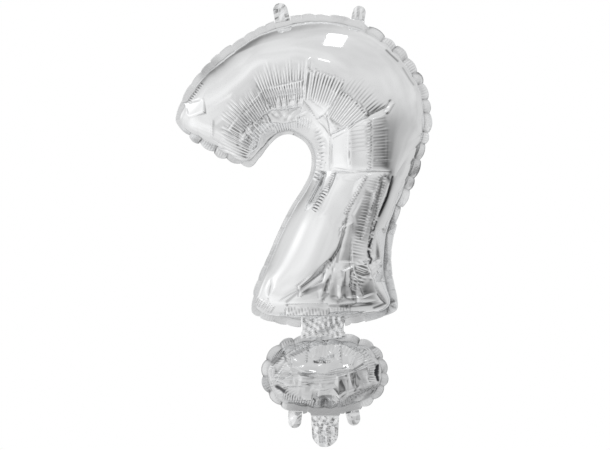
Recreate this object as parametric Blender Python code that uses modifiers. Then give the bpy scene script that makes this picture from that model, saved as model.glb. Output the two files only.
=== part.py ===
# Question mark foil balloon: a hook over a dot, air filled and hung by its top tabs.
# Metres, +Z up. The letter's face looks towards -Y, and X runs to the reader's right.
# The origin lies on the seam plane, midway between the two top tabs, where it hangs.
import math

import bmesh
import bpy
from mathutils import Matrix, Vector

# Driving dimensions, in metres
MM = 0.001
CLEARANCE = 0.0003          # gap that touching faces keep
FOIL = 0.0015               # thickness that stands for a foil panel
SEAM_THICKNESS = 0.0008     # both foils sealed together
PANEL_LEVEL = SEAM_THICKNESS / 2 + CLEARANCE    # height of a panel's flange over the seam plane
FLANGE = 0.004              # flat edge of a panel, pressed on the seam
DEPTH_AT_TIP = 0.405        # half the hook's depth, as a share of the stroke's width
DEPTH_AT_FOOT = 0.355
SWELL_POWER = 1.9           # with the next, shape of the inflated cross-section
SWELL_ROUNDING = 0.75
TIP_ROUND = 0.105           # length over which the hook's tip swells
FOOT_ROUND = 0.100          # length over which the foot swells
TIP_BULGE = 0.006           # how far the tip's end seam bows out
FOOT_BULGE = 0.024          # how far the foot's bottom seam bows out
CORNER_ROUNDING = 0.25      # 0 keeps the stroke's corners square, 1 makes them elliptical

SCALLOPED_MARGIN = 0.0170   # width of the seam margin at the crown of a scallop
PLAIN_MARGIN = 0.007        # width of the seam margin round the bay
SCALLOP_LENGTH = 0.029
SCALLOP_DEPTH = 0.0055
POINTS_PER_SCALLOP = 6
TIP_SCALLOPS_END = 0.07     # share of the stroke after which the bay's side is plain
FOOT_SCALLOPS_START = 0.86  # share of the stroke where its scallops begin again
FOOT_SCALLOPS_FADE = 0.10   # share over which they grow to full size

DOT_X = 0.0105
DOT_Z = -0.774
DOT_HALF_WIDTH = 0.1235
DOT_HALF_HEIGHT = 0.0745
DOT_HALF_DEPTH = 0.054
DOT_END_POWER = 4.0         # fullness of the dot towards its left and right ends
# How round the dot's corners are, 1 for an ellipse: top left, top right, bottom left, bottom right.
DOT_CORNERS = (0.92, 0.82, 0.85, 0.98)

NECK_X = 0.0075
NECK_HALF_WIDTH = 0.046
NECK_HALF_DEPTH = 0.003
NECK_TOP_Z = -0.662         # edge of the foot's seam margin
HINGE_Z = -0.673            # crease across the neck, which the dot swings about
NECK_BOTTOM_Z = -0.684      # edge of the dot's seam margin

TAB_THICKNESS = 0.0008
FOLD_GAP = 0.0004           # from a fold's axis to the edge on either side of it
SEAT_OVERHANG = 0.0035      # how far a straight seat in a margin runs past its flap

# Grid of each half shell
HOOK_CELLS = (54, 14)
DOT_CELLS = (14, 14)
NECK_CELLS = (12, 4)
OUTLINE_STEPS = 400
FLAP_TIP_STEPS = 8
OUTER_TO_INNER_POINTS = 3   # a margin's plain inner edge needs fewer points than its scallops

# Sections of the hook's stroke, from its tip to its foot, in mm.
# Columns: outer edge x, outer edge z, inner edge x, inner edge z.
HOOK_SECTIONS = (
    (-306, -232, -150, -322),
    (-278, -172, -126, -295),
    (-238, -123, -109, -273),
    (-180, -77, -93, -259),
    (-118, -40, -78, -253),
    (-40, -18, -62, -252),
    (31, -18, -43, -259),
    (98, -37, -27, -271),
    (157, -76, -17, -285),
    (199, -128, -11, -302),
    (223, -188, -10, -321),
    (225, -252, -12, -337),
    (209, -306, -18, -355),
    (187, -366, -32, -381),
    (161, -422, -58, -422),
    (142, -484, -88, -484),
    (139, -553, -117, -556),
    (165, -630, -145, -640),
)

# Flaps that fold about their roots, in mm and degrees.
# Columns: name, root x, root z, direction from +Z towards +X, length, width, tip's share of width.
FLAPS = (
    ("tab_top_left", -79, -17, -12, 41, 33, 0.9),
    ("tab_top_right", 82, -13, 12, 31, 29, 0.9),
    ("tab_bottom_left", -52, -853, 183, 37, 30, 0.9),
    ("tab_bottom_right", 70, -853, 168, 33, 30, 0.9),
    ("valve_tail", 12, -863, 180, 68, 60, 0.9),
)
HOOK_FLAPS = ("tab_top_left", "tab_top_right")

# Finishes: colour, roughness
FOIL_FINISH = ((0.86, 0.87, 0.88, 1.0), 0.08)
MARGIN_FINISH = ((0.80, 0.81, 0.82, 1.0), 0.16)
FLAP_FINISH = ((0.82, 0.83, 0.84, 1.0), 0.12)


def clear_scene():
    for obj in list(bpy.data.objects):
        bpy.data.objects.remove(obj, do_unlink=True)


def make_material(name, finish):
    colour, roughness = finish
    material = bpy.data.materials.new(name)
    material.use_nodes = True
    shader = material.node_tree.nodes["Principled BSDF"]
    shader.inputs["Base Color"].default_value = colour
    shader.inputs["Metallic"].default_value = 1.0
    shader.inputs["Roughness"].default_value = roughness
    material.diffuse_color = colour
    return material


def add_object(name, data, collection, finish):
    obj = bpy.data.objects.new(name, data)
    collection.objects.link(obj)
    data.materials.append(make_material(name + "_foil", finish))
    return obj


# The hook's stroke

def section_at(along):
    """Outer and inner edge of the stroke at a share of its length, on a smooth curve."""
    place = along * (len(HOOK_SECTIONS) - 1)
    index = min(int(place), len(HOOK_SECTIONS) - 2)
    t = place - index
    row = [HOOK_SECTIONS[min(max(index + step, 0), len(HOOK_SECTIONS) - 1)] for step in (-1, 0, 1, 2)]
    values = []
    for a, b, c, d in zip(*row):
        slope_in = (c - a) / 2
        slope_out = (d - b) / 2
        values.append(
            b + slope_in * t
            + (3 * (c - b) - 2 * slope_in - slope_out) * t ** 2
            + (2 * (b - c) + slope_in + slope_out) * t ** 3
        )
    outer = Vector((values[0], values[1])) * MM
    inner = Vector((values[2], values[3])) * MM
    return outer, inner


def centre_at(along):
    outer, inner = section_at(along)
    return (outer + inner) / 2


def centre_length():
    points = [centre_at(step / OUTLINE_STEPS) for step in range(OUTLINE_STEPS + 1)]
    return sum((b - a).length for a, b in zip(points, points[1:]))


STROKE_LENGTH = centre_length()


def end_share(distance, reach):
    """0 in the middle of the stroke, rising to 1 at its end."""
    return math.sin(math.pi / 2 * max(0.0, 1.0 - distance / reach))


def hook_point(along, across):
    """Place in the seam plane and height over it; across is -1 at the bay and 1 outside."""
    ends = (
        (end_share(along * STROKE_LENGTH, TIP_ROUND), TIP_ROUND, TIP_BULGE, -1.0),
        (end_share((1.0 - along) * STROKE_LENGTH, FOOT_ROUND), FOOT_ROUND, FOOT_BULGE, 1.0),
    )
    share, reach, bulge, way = max(ends)
    inset = share * math.sqrt(1.0 - CORNER_ROUNDING * across ** 2 / 2)
    sideways = across * math.sqrt(1.0 - CORNER_ROUNDING * share ** 2 / 2)
    if share > 0.0:
        distance = (1.0 - inset) * reach / STROKE_LENGTH
        along = distance if way < 0 else 1.0 - distance
    outer, inner = section_at(along)
    middle = (outer + inner) / 2
    half = (outer - inner) / 2
    forward = Vector((half.y, -half.x)).normalized()
    place = middle + half * sideways + forward * way * bulge * inset ** 2 * (1.0 - sideways ** 2)
    swell = (1.0 - abs(across) ** SWELL_POWER) * (1.0 - share ** SWELL_POWER)
    depth = (DEPTH_AT_TIP + (DEPTH_AT_FOOT - DEPTH_AT_TIP) * along) * 2 * half.length
    return place, depth * max(swell, 0.0) ** SWELL_ROUNDING


def dot_point(right, up):
    """Place in the dot's outline and height over it, from a square of -1 to 1."""
    top_left, top_right, bottom_left, bottom_right = DOT_CORNERS
    to_right, to_top = (1.0 + right) / 2, (1.0 + up) / 2
    top = top_left + (top_right - top_left) * to_right
    bottom = bottom_left + (bottom_right - bottom_left) * to_right
    rounding = bottom + (top - bottom) * to_top
    place = Vector((
        DOT_X + DOT_HALF_WIDTH * right * math.sqrt(1.0 - rounding * up ** 2 / 2),
        DOT_Z + DOT_HALF_HEIGHT * up * math.sqrt(1.0 - rounding * right ** 2 / 2),
    ))
    swell = (1.0 - abs(right) ** DOT_END_POWER) * (1.0 - abs(up) ** SWELL_POWER)
    return place, DOT_HALF_DEPTH * max(swell, 0.0) ** SWELL_ROUNDING


# Panels: one inflated half shell each, with a flat flange round its rim

def outward_at(vert):
    """Direction in the seam plane, square to the rim and away from the panel."""
    rim = [edge.other_vert(vert).co for edge in vert.link_edges if edge.is_boundary]
    along = rim[1] - rim[0]
    outward = Vector((along.z, 0.0, -along.x)).normalized()
    inside = sum((face.calc_center_median() for face in vert.link_faces), Vector()) / len(vert.link_faces)
    return outward if outward.dot(vert.co - inside) > 0 else -outward


def add_flange(bm):
    rim_verts = [vert for vert in bm.verts if vert.is_boundary]
    outward = {vert: outward_at(vert) for vert in rim_verts}
    rim_edges = [edge for edge in bm.edges if edge.is_boundary]
    made = bmesh.ops.extrude_edge_only(bm, edges=rim_edges)["geom"]
    moves = []
    for vert in made:
        if isinstance(vert, bmesh.types.BMVert):
            old = next(edge.other_vert(vert) for edge in vert.link_edges if edge.other_vert(vert) in outward)
            moves.append((vert, outward[old]))
    for vert, direction in moves:
        vert.co += direction * FLANGE


def face_away(bm, side):
    """Turn the faces so that they look away from the seam plane, towards the given side."""
    bm.normal_update()
    lean = sum(face.normal.y * face.calc_area() for face in bm.faces)
    if lean * side < 0:
        bmesh.ops.reverse_faces(bm, faces=bm.faces[:])


def add_panel(name, point_at, cells, side, collection):
    bm = bmesh.new()
    bmesh.ops.create_grid(bm, x_segments=cells[0], y_segments=cells[1], size=1.0)
    for vert in bm.verts:
        place, height = point_at(vert.co.x, vert.co.y)
        vert.co = (place.x, side * (PANEL_LEVEL + height), place.y)
    add_flange(bm)
    face_away(bm, side)
    mesh = bpy.data.meshes.new(name)
    bm.to_mesh(mesh)
    bm.free()
    obj = add_object(name, mesh, collection, FOIL_FINISH)
    shell = obj.modifiers.new("foil", "SOLIDIFY")
    shell.thickness = FOIL
    shell.offset = 1.0
    mesh.shade_smooth()
    return obj


def hook_grid(x, y):
    return hook_point((x + 1.0) / 2, math.sin(math.pi / 2 * y))


def dot_grid(x, y):
    return dot_point(math.sin(math.pi / 2 * x), math.sin(math.pi / 2 * y))


# Seam margins: a flat strip round each envelope, scalloped where the outline is convex

def hook_outline():
    """Closed outline of the hook's envelope, with how strongly each point is scalloped."""
    steps = [step / OUTLINE_STEPS for step in range(OUTLINE_STEPS)]
    outer = [(hook_point(s, 1.0)[0], 1.0) for s in steps]
    foot = [(hook_point(1.0, 1.0 - 2 * s)[0], 1.0) for s in steps]
    bay = [(hook_point(1.0 - s, -1.0)[0], bay_scallop(1.0 - s)) for s in steps]
    tip = [(hook_point(0.0, 2 * s - 1.0)[0], 1.0) for s in steps]
    return outer + foot + bay + tip


def bay_scallop(along):
    """The bay's side is plain, and takes scallops again near the tip and the foot."""
    near_tip = 1.0 - along / TIP_SCALLOPS_END
    near_foot = (along - FOOT_SCALLOPS_START) / FOOT_SCALLOPS_FADE
    return min(max(near_tip, near_foot, 0.0), 1.0)


def dot_outline():
    """Closed outline of the dot, clockwise from its top left corner, scalloped all round."""
    shares = [2 * step / OUTLINE_STEPS - 1.0 for step in range(OUTLINE_STEPS)]
    top = [dot_point(s, 1.0)[0] for s in shares]
    right = [dot_point(1.0, -s)[0] for s in shares]
    bottom = [dot_point(-s, -1.0)[0] for s in shares]
    left = [dot_point(-1.0, s)[0] for s in shares]
    return [(point, 1.0) for point in top + right + bottom + left]


def spread_evenly(outline, count):
    """Points at even distances along a closed outline, keeping each one's weight."""
    lengths = [0.0]
    for (a, _), (b, _) in zip(outline, outline[1:] + outline[:1]):
        lengths.append(lengths[-1] + (b - a).length)
    points = []
    index = 0
    for step in range(count):
        target = lengths[-1] * step / count
        while lengths[index + 1] < target:
            index += 1
        span = lengths[index + 1] - lengths[index]
        share = (target - lengths[index]) / span if span > 0 else 0.0
        (a, weight_a), (b, weight_b) = outline[index], outline[(index + 1) % len(outline)]
        points.append((a.lerp(b, share), weight_a + (weight_b - weight_a) * share))
    return points, lengths[-1]


def flap_frame(flap):
    """Root, outward direction and half width of a flap, in metres."""
    _, x, z, angle, _, width, _ = flap
    turn = math.radians(angle)
    return Vector((x, z)) * MM, Vector((math.sin(turn), math.cos(turn))), width * MM / 2


def pull_to_seat(point, seat):
    """Move a margin's point to the straight edge that a flap or the neck sits against."""
    root, direction, half_width, gap = seat
    side = Vector((direction.y, -direction.x))
    offset = point - root
    reach = 2 * SCALLOPED_MARGIN
    if abs(offset.dot(side)) < half_width + SEAT_OVERHANG and abs(offset.dot(direction)) < reach:
        return root + side * offset.dot(side) - direction * gap
    return point


def margin_contour(outline, seats):
    """Outer edge of the margin: scallops of even length, straight at each seat."""
    _, length = spread_evenly(outline, 1)
    scallops = round(length / SCALLOP_LENGTH)
    points, _ = spread_evenly(outline, scallops * POINTS_PER_SCALLOP)
    contour = []
    for index, (point, weight) in enumerate(points):
        before = points[index - 1][0]
        after = points[(index + 1) % len(points)][0]
        tangent = (after - before).normalized()
        outward = Vector((-tangent.y, tangent.x))
        notch = SCALLOP_DEPTH * (1.0 - abs(math.sin(math.pi * index / POINTS_PER_SCALLOP)))
        width = PLAIN_MARGIN + (SCALLOPED_MARGIN - notch - PLAIN_MARGIN) * weight
        edge = point + outward * width
        for seat in seats:
            edge = pull_to_seat(edge, seat)
        contour.append(edge)
    return contour


def add_plate(name, contours, thickness, matrix, finish, collection):
    """A flat plate in the XZ plane from closed contours; a second contour is a hole."""
    curve = bpy.data.curves.new(name, "CURVE")
    curve.dimensions = "2D"
    curve.fill_mode = "BOTH"
    curve.extrude = thickness / 2
    for contour in contours:
        spline = curve.splines.new("POLY")
        spline.points.add(len(contour) - 1)
        spline.use_cyclic_u = True
        for point, place in zip(spline.points, contour):
            point.co = (place[0], place[1], 0.0, 1.0)
    obj = add_object(name, curve, collection, finish)
    obj.matrix_world = matrix @ Matrix.Rotation(math.pi / 2, 4, "X")
    return obj


def add_margin(name, outline, seats, collection):
    outer = margin_contour(outline, seats)
    inner, _ = spread_evenly(outline, len(outer) // OUTER_TO_INNER_POINTS)
    contours = (outer, [point for point, _ in inner])
    return add_plate(name, contours, SEAM_THICKNESS, Matrix.Identity(4), MARGIN_FINISH, collection)


# Neck: a flattened sleeve on each side of the crease

def add_neck(name, bottom, top, collection):
    bm = bmesh.new()
    bmesh.ops.create_grid(bm, x_segments=NECK_CELLS[0], y_segments=NECK_CELLS[1], size=1.0)
    for vert in bm.verts:
        across = math.sin(math.pi / 2 * vert.co.x)
        up = (vert.co.y + 1.0) / 2
        height = NECK_HALF_DEPTH * math.sqrt(max(1.0 - across ** 2, 0.0)) * math.sin(math.pi * up)
        vert.co = (NECK_X + NECK_HALF_WIDTH * across, -height, bottom + (top - bottom) * up)
    for vert in bm.verts:
        if vert.is_boundary:
            vert.co.y = 0.0
    face_away(bm, -1.0)
    mesh = bpy.data.meshes.new(name)
    bm.to_mesh(mesh)
    bm.free()
    obj = add_object(name, mesh, collection, FLAP_FINISH)
    mirror = obj.modifiers.new("back", "MIRROR")
    mirror.use_axis = (False, True, False)
    mirror.merge_threshold = 0.00005
    mesh.shade_smooth()
    return obj


# Flaps: tongues of sealed foil that fold about their roots

def add_flap(flap, collection):
    name, _, _, angle, length, width, tip_share = flap
    root, _, half_width = flap_frame(flap)
    tip_half = half_width * tip_share
    shoulder = length * MM - tip_half
    contour = [(-half_width, FOLD_GAP), (half_width, FOLD_GAP)]
    for step in range(FLAP_TIP_STEPS + 1):
        turn = math.pi * step / FLAP_TIP_STEPS
        contour.append((tip_half * math.cos(turn), shoulder + tip_half * math.sin(turn)))
    matrix = Matrix.Translation((root.x, 0.0, root.y)) @ Matrix.Rotation(math.radians(angle), 4, "Y")
    return add_plate(name, (contour,), TAB_THICKNESS, matrix, FLAP_FINISH, collection)


def build_balloon():
    clear_scene()
    balloon = bpy.data.collections.new("question_mark_foil_balloon")
    bpy.context.scene.collection.children.link(balloon)

    frames = {flap[0]: flap_frame(flap) + (FOLD_GAP,) for flap in FLAPS}
    hook_seats = [frames[name] for name in HOOK_FLAPS]
    dot_seats = [frame for name, frame in frames.items() if name not in HOOK_FLAPS]
    down = Vector((0.0, -1.0))
    hook_seats.append((Vector((NECK_X, NECK_TOP_Z)), down, NECK_HALF_WIDTH, 0.0))
    dot_seats.append((Vector((NECK_X, NECK_BOTTOM_Z)), -down, NECK_HALF_WIDTH, 0.0))

    add_panel("hook_front_panel", hook_grid, HOOK_CELLS, -1.0, balloon)
    add_panel("hook_back_panel", hook_grid, HOOK_CELLS, 1.0, balloon)
    add_margin("hook_seam_margin", hook_outline(), hook_seats, balloon)
    add_panel("dot_front_panel", dot_grid, DOT_CELLS, -1.0, balloon)
    add_panel("dot_back_panel", dot_grid, DOT_CELLS, 1.0, balloon)
    add_margin("dot_seam_margin", dot_outline(), dot_seats, balloon)
    add_neck("neck_upper", HINGE_Z + FOLD_GAP, NECK_TOP_Z - CLEARANCE, balloon)
    add_neck("neck_lower", NECK_BOTTOM_Z + CLEARANCE, HINGE_Z - FOLD_GAP, balloon)
    for flap in FLAPS:
        add_flap(flap, balloon)


build_balloon()
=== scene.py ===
# Looks of the question mark foil balloon: mirror bright film, inflated, pleated and scalloped.
import math

import bpy
import numpy as np
from mathutils import Matrix, Vector


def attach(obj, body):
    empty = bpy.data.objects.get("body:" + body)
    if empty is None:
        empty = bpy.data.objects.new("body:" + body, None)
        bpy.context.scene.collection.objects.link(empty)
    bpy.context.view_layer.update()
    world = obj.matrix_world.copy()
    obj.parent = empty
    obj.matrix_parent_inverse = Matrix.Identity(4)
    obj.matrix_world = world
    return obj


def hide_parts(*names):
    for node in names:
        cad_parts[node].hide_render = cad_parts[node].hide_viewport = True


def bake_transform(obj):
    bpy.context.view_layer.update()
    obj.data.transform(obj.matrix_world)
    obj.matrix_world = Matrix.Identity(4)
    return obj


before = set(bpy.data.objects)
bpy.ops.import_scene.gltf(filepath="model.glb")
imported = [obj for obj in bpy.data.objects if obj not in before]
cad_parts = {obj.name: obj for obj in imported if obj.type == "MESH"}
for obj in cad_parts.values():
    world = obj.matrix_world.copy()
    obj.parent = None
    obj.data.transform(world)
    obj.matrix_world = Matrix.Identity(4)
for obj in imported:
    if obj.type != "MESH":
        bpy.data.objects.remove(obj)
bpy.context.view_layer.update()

MM = 0.001
FRONT = -1.0
BACK = 1.0

# Sections of the hook's stroke at the edge of its envelope, from the tip to the foot, in mm.
# Columns: outer edge x, outer edge z, inner edge x, inner edge z.
HOOK_SECTIONS = np.array((
    (-306, -232, -150, -322),
    (-278, -172, -126, -295),
    (-238, -123, -109, -273),
    (-180, -77, -93, -259),
    (-118, -40, -78, -253),
    (-40, -18, -62, -252),
    (31, -18, -43, -259),
    (98, -37, -27, -271),
    (157, -76, -17, -285),
    (199, -128, -11, -302),
    (223, -188, -10, -321),
    (225, -252, -12, -337),
    (209, -306, -18, -355),
    (187, -366, -32, -381),
    (161, -422, -58, -422),
    (142, -484, -88, -484),
    (139, -553, -117, -556),
    (165, -630, -145, -640),
), float) * MM
TIP_ROUND = 0.105
FOOT_ROUND = 0.100
TIP_BULGE = 0.006
FOOT_BULGE = 0.024
CORNER_ROUNDING = 0.25
DOT_X = 0.0105
DOT_Z = -0.774
DOT_HALF_WIDTH = 0.1235
DOT_HALF_HEIGHT = 0.0745
# How round the dot's corners are, 1 for an ellipse: top left, top right, bottom left, bottom right.
DOT_CORNERS = (0.92, 0.82, 0.85, 0.98)

# Film
SEAM_LEVEL = 0.0004         # height of each film over the seam plane at the seam
FLAT_WIDTH = 1.36           # width of the flat film across the stroke, per width once inflated
BEND_EXCESS = 1.10          # extra length of the long edge of a bend, once laid flat
STROKE_EXCESS = 1.06        # length of the film along the stroke, per length of its seam
END_EXCESS = 0.5            # further length of the film in the rounded ends
DOT_EXCESS = 1.31           # flat size of the dot, per size once inflated

# Seam margin
SCALLOP_LENGTH = 0.033
SCALLOPED_MARGIN = 0.0170
PLAIN_MARGIN = 0.007
MARGIN_FILM = 0.0003
FLAT_LOBES = 0.4            # how strongly the margin's lobes show where it lies flattest
VALLEY_SHADE_DEPTH = 0.0009       # depth of a sharp valley that sets how dark the shade painted in it is
HATCH_PITCH = 0.0055        # fine pleats that cross the margin
HATCH_HEIGHT = 0.0008

# Grid of the hook's panels, along and across the stroke, and of the dot's
HOOK_CELLS = (860, 113)
DOT_CELLS = 240


# Curves and grids

def through(table, shares):
    """Points on the smooth curve through the rows of a table, at shares 0 to 1 of its rows."""
    place = np.clip(shares, 0.0, 1.0) * (len(table) - 1)
    row = np.minimum(place.astype(int), len(table) - 2)
    t = (place - row).reshape((-1,) + (1,) * (table.ndim - 1))
    last = len(table) - 1
    a, b = table[np.clip(row - 1, 0, last)], table[row]
    c, d = table[row + 1], table[np.clip(row + 2, 0, last)]
    slope_in, slope_out = (c - a) / 2, (d - b) / 2
    return (b + slope_in * t + (3 * (c - b) - 2 * slope_in - slope_out) * t ** 2
            + (2 * (b - c) + slope_in + slope_out) * t ** 3)


def resample(grid, along, across):
    """A smooth grid read at shares along and across it."""
    rows = through(grid, along)
    return np.swapaxes(through(np.swapaxes(rows, 0, 1), across), 0, 1)


def travelled(points):
    """Distance along a line of points, from its first one."""
    return np.concatenate(([0.0], np.cumsum(np.linalg.norm(np.diff(points, axis=0), axis=-1))))


def unit(vectors):
    return vectors / np.maximum(np.linalg.norm(vectors, axis=-1, keepdims=True), 1e-12)


def normals(grid):
    return unit(np.cross(np.gradient(grid, axis=0), np.gradient(grid, axis=1)))


def outward_normals(grid):
    out = normals(grid)
    return out * np.where(out[..., 1:2] > 0, -1.0, 1.0)


# Inflation: film that can't stretch but folds freely, held at its seam and blown up

def pull_in(a, b, free_a, free_b, rest):
    """Bring pairs of points that are further apart than the film between them back together."""
    reach = b - a
    length = np.maximum(np.sqrt((reach * reach).sum(-1)), 1e-9)
    weight = free_a + free_b
    share = np.where(weight > 0, np.maximum(length - rest, 0.0) / length / np.maximum(weight, 1.0), 0.0)
    a += (free_a * share)[..., None] * reach
    b -= (free_b * share)[..., None] * reach


def blow_up(grid, rest_along, rest_across, rest_slants, steps, push=0.02, calm=0.3):
    """Inflate one film towards -Y; its four sides stay where they are."""
    free = np.zeros(grid.shape[:2])
    free[1:-1, 1:-1] = 1.0
    rows, columns = grid.shape[0] - 1, grid.shape[1] - 1
    speed = np.zeros_like(grid)
    for step in range(steps):
        along = np.zeros_like(grid)
        across = np.zeros_like(grid)
        along[1:-1] = grid[2:] - grid[:-2]
        across[:, 1:-1] = grid[:, 2:] - grid[:, :-2]
        before = grid.copy()
        grid = grid + 0.9 * speed + push * np.cross(along, across) * free[..., None]
        for _ in range(2):
            for odd in (0, 1):
                a = slice(odd, odd + (rows - odd) // 2 * 2, 2)
                b = slice(a.start + 1, a.stop + 1, 2)
                pull_in(grid[a], grid[b], free[a], free[b], rest_along[a])
                pull_in(grid[a, :-1], grid[b, 1:], free[a, :-1], free[b, 1:], rest_slants[0][a])
                pull_in(grid[a, 1:], grid[b, :-1], free[a, 1:], free[b, :-1], rest_slants[1][a])
                a = slice(odd, odd + (columns - odd) // 2 * 2, 2)
                b = slice(a.start + 1, a.stop + 1, 2)
                pull_in(grid[:, a], grid[:, b], free[:, a], free[:, b], rest_across[:, a])
        speed = grid - before
        grid[..., 1] = np.minimum(grid[..., 1], 0.0)
        if step % 10 == 0:
            middle = grid[1:-1, 1:-1]
            mean = (grid[2:, 1:-1] + grid[:-2, 1:-1] + grid[1:-1, 2:] + grid[1:-1, :-2]) / 4
            grid[1:-1, 1:-1] = middle + calm * (mean - middle)
    return grid


def slants(flat, rest_along, rest_across):
    """Both diagonals of the flat film's cells, which keep the angles they have in the outline."""
    run = (flat[1:, :-1] - flat[:-1, :-1] + flat[1:, 1:] - flat[:-1, 1:]) / 2
    side = (flat[:-1, 1:] - flat[:-1, :-1] + flat[1:, 1:] - flat[1:, :-1]) / 2
    lean = (unit(run) * unit(side)).sum(-1)
    along = (rest_along[:, :-1] + rest_along[:, 1:]) / 2
    across = (rest_across[:-1] + rest_across[1:]) / 2
    square = along ** 2 + across ** 2
    skew = 2 * along * across * lean
    return np.sqrt(square + skew), np.sqrt(square - skew)


def inflate(seam_grid, film, sizes):
    """Blow a film up on a coarse grid first, then on finer ones."""
    grid = None
    for rows, columns, steps in sizes:
        flat = seam_grid(rows, columns)
        if grid is None:
            bow = np.outer(np.sin(np.linspace(0, np.pi, rows + 1)), np.sin(np.linspace(0, np.pi, columns + 1)))
            grid = np.stack((flat[..., 0], -0.03 * bow, flat[..., 1]), -1)
        else:
            grid = resample(grid, np.linspace(0, 1, rows + 1), np.linspace(0, 1, columns + 1))
            for side in (np.s_[0], np.s_[-1], np.s_[:, 0], np.s_[:, -1]):
                grid[side][:, 0], grid[side][:, 1], grid[side][:, 2] = flat[side][:, 0], 0.0, flat[side][:, 1]
        rest_along, rest_across = film(flat)
        grid = blow_up(grid, rest_along, rest_across, slants(flat, rest_along, rest_across), steps)
    return grid


# The hook's stroke: 0 to 1 along it from the tip, 0 to 1 across it from the bay to the outside

SHARES = np.linspace(0, 1, 2001)
_sections = through(HOOK_SECTIONS, SHARES)
_centre_way = travelled((_sections[:, :2] + _sections[:, 2:]) / 2)
STROKE_LENGTH = _centre_way[-1]


def hook_seam_grid(rows, columns):
    """The envelope's outline and the places between, in the seam plane."""
    across = np.linspace(-1, 1, columns + 1)[None, :]
    way = np.linspace(0, STROKE_LENGTH, rows + 1)[:, None]
    tip = np.maximum(1 - way / TIP_ROUND, 0)
    foot = np.maximum(1 - (STROKE_LENGTH - way) / FOOT_ROUND, 0)
    at_tip = tip >= foot
    share = np.where(at_tip, tip, foot)
    inset = share * np.sqrt(1 - CORNER_ROUNDING * across ** 2 / 2)
    sideways = across * np.sqrt(1 - CORNER_ROUNDING * share ** 2 / 2)
    from_end = (1 - inset) * np.where(at_tip, TIP_ROUND, FOOT_ROUND)
    place = np.where(share > 0, np.where(at_tip, from_end, STROKE_LENGTH - from_end), way + 0 * across)
    rows_at = np.interp(place.ravel(), _centre_way, SHARES)
    section = through(HOOK_SECTIONS, rows_at).reshape(place.shape + (4,))
    outer, inner = section[..., :2], section[..., 2:]
    half = (outer - inner) / 2
    forward = unit(np.stack((half[..., 1], -half[..., 0]), -1))
    bulge = np.where(at_tip, -TIP_BULGE, FOOT_BULGE) * inset ** 2 * (1 - sideways ** 2)
    return (outer + inner) / 2 + half * sideways[..., None] + forward * bulge[..., None]


def hook_film(flat):
    """Lengths of the flat film's threads along and across the stroke."""
    rows, columns = flat.shape[0] - 1, flat.shape[1] - 1
    inner = np.linalg.norm(np.diff(flat[:, 0], axis=0), axis=1)[:, None]
    outer = np.linalg.norm(np.diff(flat[:, -1], axis=0), axis=1)[:, None]
    across = np.linspace(0, 1, columns + 1)[None, :]
    along = np.where(outer > inner, inner + BEND_EXCESS * (outer - inner) * across,
                     outer + BEND_EXCESS * (inner - outer) * (1 - across))
    way = (np.arange(rows) + 0.5) * STROKE_LENGTH / rows
    near_end = np.maximum(1 - np.minimum(way, STROKE_LENGTH - way) / FOOT_ROUND, 0)
    along = along * STROKE_EXCESS * (1 + END_EXCESS * np.sqrt(near_end))[:, None]
    width = np.linalg.norm(flat[:, -1] - flat[:, 0], axis=1)
    return along, np.repeat((FLAT_WIDTH * width / columns)[:, None], columns, axis=1)


# The dot: a square grid drawn onto its ellipse

def dot_seam_grid(rows, columns):
    right = np.linspace(-1, 1, rows + 1)[:, None]
    up = np.linspace(-1, 1, columns + 1)[None, :]
    top_left, top_right, bottom_left, bottom_right = DOT_CORNERS
    to_right, to_top = (1 + right) / 2, (1 + up) / 2
    top = top_left + (top_right - top_left) * to_right
    bottom = bottom_left + (bottom_right - bottom_left) * to_right
    rounding = bottom + (top - bottom) * to_top
    x = DOT_X + DOT_HALF_WIDTH * right * np.sqrt(1 - rounding * up ** 2 / 2)
    z = DOT_Z + DOT_HALF_HEIGHT * up * np.sqrt(1 - rounding * right ** 2 / 2)
    return np.stack((x, z), -1)


def dot_film(flat):
    along = DOT_EXCESS * np.linalg.norm(np.diff(flat, axis=0), axis=-1)
    across = DOT_EXCESS * np.linalg.norm(np.diff(flat, axis=1), axis=-1)
    return along, across


# Fine shape: facets, folds and pleats, each a height over the smooth film

def smooth_step(low, high, value):
    share = np.clip((value - low) / (high - low), 0.0, 1.0)
    return share * share * (3 - 2 * share)


def pleats(phase, count, rng):
    """Rounded pleats with sharp valleys between them, each of its own strength."""
    pleat = np.clip(np.floor(phase).astype(int), 0, count - 1)
    inside = (phase > 0) & (phase < count)
    return inside * np.abs(np.sin(np.pi * phase)) * rng.uniform(0.45, 1.25, count)[pleat], pleat


def fan_relief(places, fans, rng):
    relief = np.zeros(places.shape[:2])
    for x, z, from_angle, to_angle, near, far, count, height, near_soft, far_soft in fans:
        offset = places - (x, z)
        radius = np.linalg.norm(offset, axis=-1)
        angle = np.degrees(np.arctan2(offset[..., 1], offset[..., 0]))
        wave, pleat = pleats((angle - from_angle) / (to_angle - from_angle) * count, count, rng)
        radius = radius + (rng.normal(0.0, 0.25, count) * far_soft)[pleat]
        relief += height * wave * smooth_step(near, near + near_soft, radius) * smooth_step(far, far - far_soft, radius)
    return relief


def lane_relief(places, lanes, rng):
    """Height of the pleats across straight lines, and the shade painted in each valley between them."""
    relief = np.zeros(places.shape[:2])
    shade = np.zeros(places.shape[:2])
    for from_x, from_z, to_x, to_z, half_width, count, height, dark in lanes:
        reach = np.array((to_x - from_x, to_z - from_z))
        offset = places - (from_x, from_z)
        side = np.abs(offset[..., 0] * reach[1] - offset[..., 1] * reach[0]) / np.linalg.norm(reach)
        phase = offset @ reach / (reach @ reach) * count
        wave, pleat = pleats(phase, count, rng)
        edge = half_width * rng.uniform(0.8, 1.2, count)[pleat]
        inside = smooth_step(edge, 0.4 * edge, side)
        relief += height * wave * inside
        shade = np.maximum(shade, dark * inside * (wave > 0) * np.cos(np.pi * phase) ** 4)
    return relief, shade


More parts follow.
